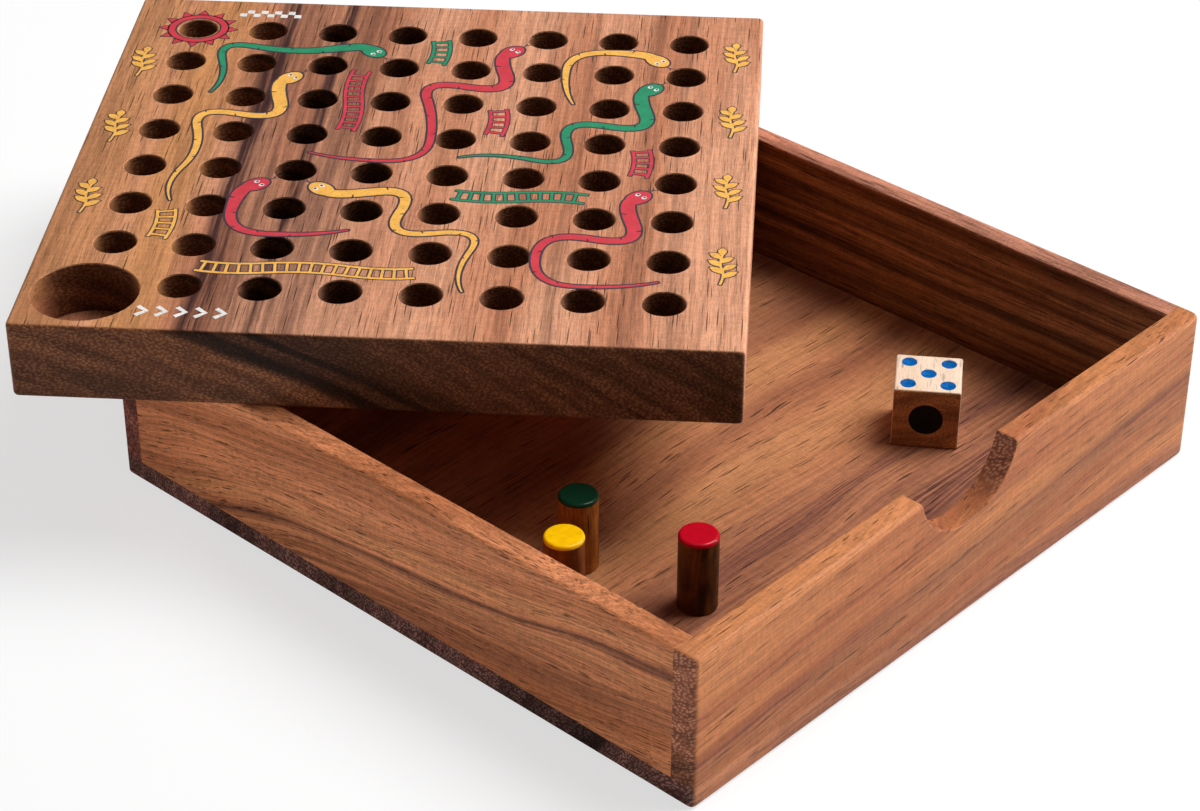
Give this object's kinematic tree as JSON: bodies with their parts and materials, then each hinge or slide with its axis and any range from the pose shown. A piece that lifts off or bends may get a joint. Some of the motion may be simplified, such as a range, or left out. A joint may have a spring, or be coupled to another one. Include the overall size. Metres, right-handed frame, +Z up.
{
  "type": "snakes and ladders board",
  "caption": "Thick square pegged game board lying askew on its open wooden box, with painted-top pegs and a die inside.",
  "frame": {"origin": "centre of the underside of the box", "axes": "+Z up; the wall with the finger notch faces -Y; +X is to the right seen from that wall"},
  "size_m": [0.1916, 0.2322, 0.0486],
  "materials": {
    "box_wood": "satin clear lacquer, streaked brown",
    "board_wood": "satin clear lacquer, streaked brown",
    "peg_wood": "satin",
    "die_wood": "satin, pale",
    "red_enamel": "gloss enamel",
    "yellow_enamel": "gloss enamel",
    "green_enamel": "gloss enamel",
    "blue_paint": "gloss paint",
    "black_paint": "gloss paint"
  },
  "bodies": {
    "box": {"bottom_panel": "box_wood", "front_wall": "box_wood", "back_wall": "box_wood", "left_wall": "box_wood", "right_wall": "box_wood"},
    "board": {"board": "board_wood"},
    "red_peg": {"red_peg": "peg_wood", "red_peg_cap": "red_enamel"},
    "yellow_peg": {"yellow_peg": "peg_wood", "yellow_peg_cap": "yellow_enamel"},
    "green_peg": {"green_peg": "peg_wood", "green_peg_cap": "green_enamel"},
    "die": {"die": "die_wood", "die_blue_pips": "blue_paint", "die_black_pip": "black_paint"}
  },
  "joints": [
    {"name": "board_lift", "type": "slide", "parent": "box", "child": "board", "axis": [0, 0, 1], "range_m": [0, 0.08]},
    {"name": "red_peg_lift", "type": "slide", "parent": "box", "child": "red_peg", "axis": [0, 0, 1], "range_m": [0, 0.04]},
    {"name": "yellow_peg_lift", "type": "slide", "parent": "box", "child": "yellow_peg", "axis": [0, 0, 1], "range_m": [0, 0.04]},
    {"name": "green_peg_lift", "type": "slide", "parent": "box", "child": "green_peg", "axis": [0, 0, 1], "range_m": [0, 0.04]},
    {"name": "die_lift", "type": "slide", "parent": "box", "child": "die", "axis": [0, 0, 1], "range_m": [0, 0.04]}
  ]
}
